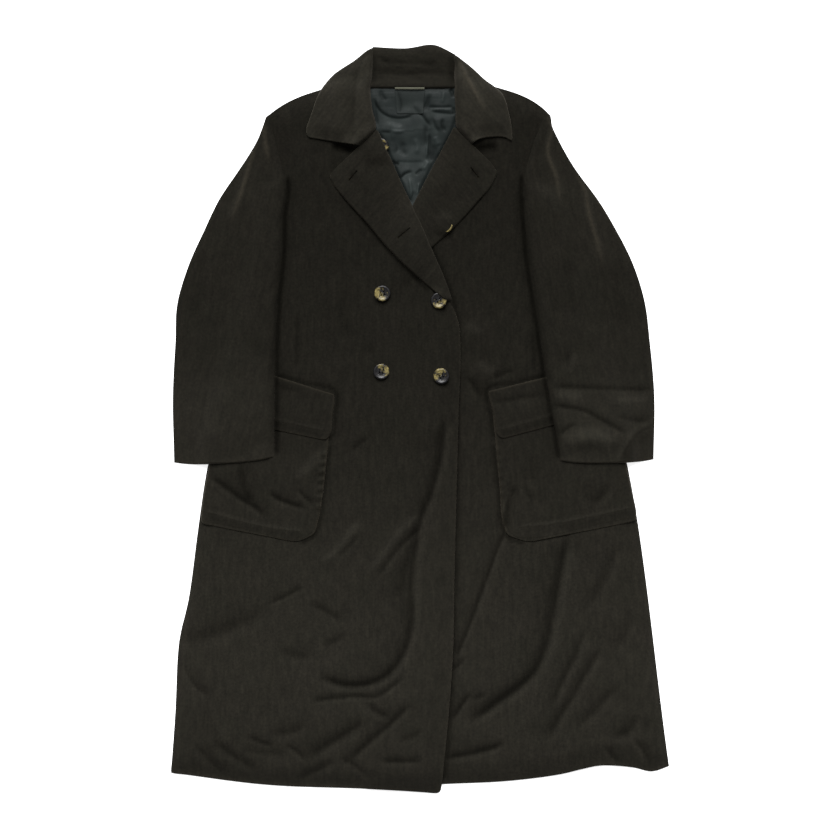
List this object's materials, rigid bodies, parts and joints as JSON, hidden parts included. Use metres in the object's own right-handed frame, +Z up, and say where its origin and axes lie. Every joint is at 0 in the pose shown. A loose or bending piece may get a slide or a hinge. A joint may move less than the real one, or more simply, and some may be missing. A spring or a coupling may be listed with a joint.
{
  "type": "overcoat laid flat",
  "caption": "Double-breasted overcoat laid flat, arms down, with wide collar and lapels, patch pockets with flaps and horn buttons.",
  "frame": {"origin": "on the surface that the coat lies on, under the middle of its bounding box", "axes": "+Z up from the surface, +Y from hem to collar, +X towards the coat's own left sleeve"},
  "size_m": [0.7743, 1.1634, 0.0328],
  "materials": {
    "coat_cloth": "soft brushed wool cloth, very dark olive brown",
    "lining_cloth": "satin lining, dark grey teal",
    "label_cloth": "plain woven tape, dark grey green with a pale folded edge",
    "horn": "polished mottled horn"
  },
  "bodies": {
    "root": {"back": "coat_cloth", "back_lining": "lining_cloth", "neck_label": "label_cloth", "collar_back": "coat_cloth", "collar_stand": "coat_cloth", "collar_left": "coat_cloth", "collar_right": "coat_cloth", "front_left": "coat_cloth", "front_right": "coat_cloth", "lapel_left": "coat_cloth", "lapel_right": "coat_cloth", "pocket_left": "coat_cloth", "pocket_right": "coat_cloth", "flap_left": "coat_cloth", "flap_right": "coat_cloth", "sleeve_left_top": "coat_cloth", "sleeve_left_under": "coat_cloth", "sleeve_right_top": "coat_cloth", "sleeve_right_under": "coat_cloth", "button_front_1": "horn", "button_front_2": "horn", "button_front_3": "horn", "button_front_4": "horn", "button_lapel": "horn", "button_inner": "horn"}
  },
  "joints": []
}
